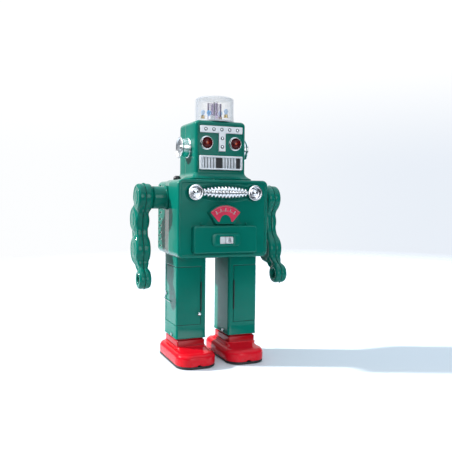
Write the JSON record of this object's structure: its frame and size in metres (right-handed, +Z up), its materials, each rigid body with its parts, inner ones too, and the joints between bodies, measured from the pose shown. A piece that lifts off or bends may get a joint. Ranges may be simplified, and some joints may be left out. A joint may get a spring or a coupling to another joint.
{
  "type": "walking humanoid robot",
  "caption": "Battery tin walking robot with swinging legs and arms, hinged battery doors, chest switch, gear drive and a clear roof dome.",
  "frame": {"origin": "on the floor under the middle of the whole outline", "axes": "+X to the robot's left, -Y out of its face, +Z up"},
  "size_m": [0.1788, 0.097, 0.3056],
  "materials": {
    "green_tin": "gloss",
    "red_tin": "gloss",
    "dark_red": "satin",
    "chrome": "polished",
    "silver_trim": "satin",
    "ruby_lens": "gloss",
    "dial_red": "gloss",
    "clear_plastic": "gloss",
    "white_plastic": "gloss",
    "black_rubber": "matte",
    "black_plastic": "matte",
    "plain_steel": "satin",
    "brass": "satin",
    "vane_plastic": "gloss",
    "lamp_glass": "gloss",
    "cell_wrap": "gloss"
  },
  "bodies": {
    "torso": {"torso_front_shell": "green_tin", "torso_back_cover": "green_tin", "cover_screws": "plain_steel", "shoulder_barrels": "green_tin", "head_front_shell": "green_tin", "head_back_shell": "green_tin", "face_panel": "green_tin", "brow_nose_trim": "silver_trim", "face_rivets": "silver_trim", "eye_rims": "chrome", "eye_lenses": "ruby_lens", "mouth_grille": "silver_trim", "mouth_liner": "black_plastic", "ear_dishes": "chrome", "roof_dome": "clear_plastic", "dome_deck": "white_plastic", "lamps": "lamp_glass", "chest_horns": "chrome", "ribbed_bar": "chrome", "gauge_badge": "green_tin", "gauge_dial": "dial_red", "control_box": "green_tin", "filler_plug": "black_rubber", "gearbox_frame": "plain_steel", "hip_axle": "plain_steel", "motor": "plain_steel", "smoke_unit": "brass"},
    "power_switch": {"switch_knob": "white_plastic"},
    "crank": {"crank_shaft": "plain_steel", "crank_gear": "brass"},
    "idler": {"idler_gear": "brass"},
    "motor_rotor": {"motor_pinion": "brass"},
    "light_spinner": {"spinner_shaft": "plain_steel", "spinner_vanes": "vane_plastic"},
    "right_arm": {"right_arm_outer": "green_tin", "right_arm_inner": "green_tin", "right_arm_shaft": "plain_steel"},
    "right_leg": {"right_leg_shell": "green_tin", "right_leg_frame": "plain_steel", "right_battery_cell": "cell_wrap"},
    "right_door": {"right_battery_door": "green_tin"},
    "right_latch": {"right_door_latch": "plain_steel"},
    "right_foot": {"right_shoe": "red_tin", "right_sole": "black_plastic", "right_ankle_block": "dark_red"},
    "right_roller": {"right_sole_roller": "black_rubber"},
    "right_link": {"right_ankle_link": "plain_steel"},
    "left_arm": {"left_arm_outer": "green_tin", "left_arm_inner": "green_tin", "left_arm_shaft": "plain_steel"},
    "left_leg": {"left_leg_shell": "green_tin", "left_leg_frame": "plain_steel", "left_battery_cell": "cell_wrap"},
    "left_door": {"left_battery_door": "green_tin"},
    "left_latch": {"left_door_latch": "plain_steel"},
    "left_foot": {"left_shoe": "red_tin", "left_sole": "black_plastic", "left_ankle_block": "dark_red"},
    "left_roller": {"left_sole_roller": "black_rubber"},
    "left_link": {"left_ankle_link": "plain_steel"}
  },
  "joints": [
    {"name": "power_switch_slide", "type": "slide", "parent": "torso", "child": "power_switch", "axis": [1, 0, 0], "range_m": [-0.006, 0]},
    {"name": "crank_spin", "type": "hinge", "parent": "torso", "child": "crank", "pos_m": [0, 0.003, 0.156], "axis": [1, 0, 0], "continuous": true},
    {"name": "idler_spin", "type": "hinge", "parent": "torso", "child": "idler", "pos_m": [0, 0.0146, 0.17609], "axis": [1, 0, 0], "continuous": true},
    {"name": "motor_spin", "type": "hinge", "parent": "torso", "child": "motor_rotor", "pos_m": [0, -0.0054, 0.17609], "axis": [1, 0, 0], "continuous": true},
    {"name": "spinner_spin", "type": "hinge", "parent": "torso", "child": "light_spinner", "pos_m": [0, -0.0054, 0.17609], "axis": [0, 0, 1], "continuous": true},
    {"name": "right_leg_swing", "type": "hinge", "parent": "torso", "child": "right_leg", "pos_m": [-0.0318, 0.003, 0.128], "axis": [1, 0, 0], "range_deg": [-7, 7]},
    {"name": "left_leg_swing", "type": "hinge", "parent": "torso", "child": "left_leg", "pos_m": [0.0318, 0.003, 0.128], "axis": [1, 0, 0], "range_deg": [-7, 7]},
    {"name": "right_ankle_turn", "type": "hinge", "parent": "right_leg", "child": "right_foot", "pos_m": [-0.0318, -0.0052, 0.0327], "axis": [1, 0, 0], "range_deg": [-7, 7]},
    {"name": "right_link_swing", "type": "hinge", "parent": "torso", "child": "right_link", "pos_m": [-0.0161, 0.018, 0.128], "axis": [1, 0, 0], "range_deg": [-7, 7]},
    {"name": "right_arm_swing", "type": "hinge", "parent": "torso", "child": "right_arm", "pos_m": [-0.08, 0.0095, 0.1897], "axis": [1, 0, 0], "range_deg": [-18, 18]},
    {"name": "right_door_open", "type": "hinge", "parent": "right_leg", "child": "right_door", "pos_m": [-0.0204, -0.0214, 0.08], "axis": [0, 0, 1], "range_deg": [0, 100]},
    {"name": "right_latch_turn", "type": "hinge", "parent": "right_door", "child": "right_latch", "pos_m": [-0.05, 0.0151, 0.0774], "axis": [1, 0, 0], "range_deg": [0, 90]},
    {"name": "right_roller_spin", "type": "hinge", "parent": "right_foot", "child": "right_roller", "pos_m": [-0.03, -0.014, 0.0047], "axis": [1, 0, 0], "continuous": true},
    {"name": "left_ankle_turn", "type": "hinge", "parent": "left_leg", "child": "left_foot", "pos_m": [0.0318, -0.0052, 0.0327], "axis": [1, 0, 0], "range_deg": [-7, 7]},
    {"name": "left_link_swing", "type": "hinge", "parent": "torso", "child": "left_link", "pos_m": [0.0161, 0.018, 0.128], "axis": [1, 0, 0], "range_deg": [-7, 7]},
    {"name": "left_arm_swing", "type": "hinge", "parent": "torso", "child": "left_arm", "pos_m": [0.08, 0.0095, 0.1897], "axis": [1, 0, 0], "range_deg": [-18, 18]},
    {"name": "left_door_open", "type": "hinge", "parent": "left_leg", "child": "left_door", "pos_m": [0.0204, -0.0214, 0.08], "axis": [0, 0, -1], "range_deg": [0, 100]},
    {"name": "left_latch_turn", "type": "hinge", "parent": "left_door", "child": "left_latch", "pos_m": [0.05, 0.0151, 0.0774], "axis": [1, 0, 0], "range_deg": [0, 90]},
    {"name": "left_roller_spin", "type": "hinge", "parent": "left_foot", "child": "left_roller", "pos_m": [0.03, -0.014, 0.0047], "axis": [1, 0, 0], "continuous": true}
  ],
  "couplings": [
    {"joint": "idler_spin", "follows": "crank_spin", "ratio": -4.8},
    {"joint": "motor_spin", "follows": "crank_spin", "ratio": 19.2},
    {"joint": "spinner_spin", "follows": "crank_spin", "ratio": 9.6},
    {"joint": "left_leg_swing", "follows": "right_leg_swing", "ratio": -1},
    {"joint": "right_ankle_turn", "follows": "right_leg_swing", "ratio": -1},
    {"joint": "right_link_swing", "follows": "right_leg_swing", "ratio": 1},
    {"joint": "right_arm_swing", "follows": "right_leg_swing", "ratio": -2.5},
    {"joint": "left_ankle_turn", "follows": "right_leg_swing", "ratio": 1},
    {"joint": "left_link_swing", "follows": "right_leg_swing", "ratio": -1},
    {"joint": "left_arm_swing", "follows": "right_leg_swing", "ratio": 2.5}
  ]
}
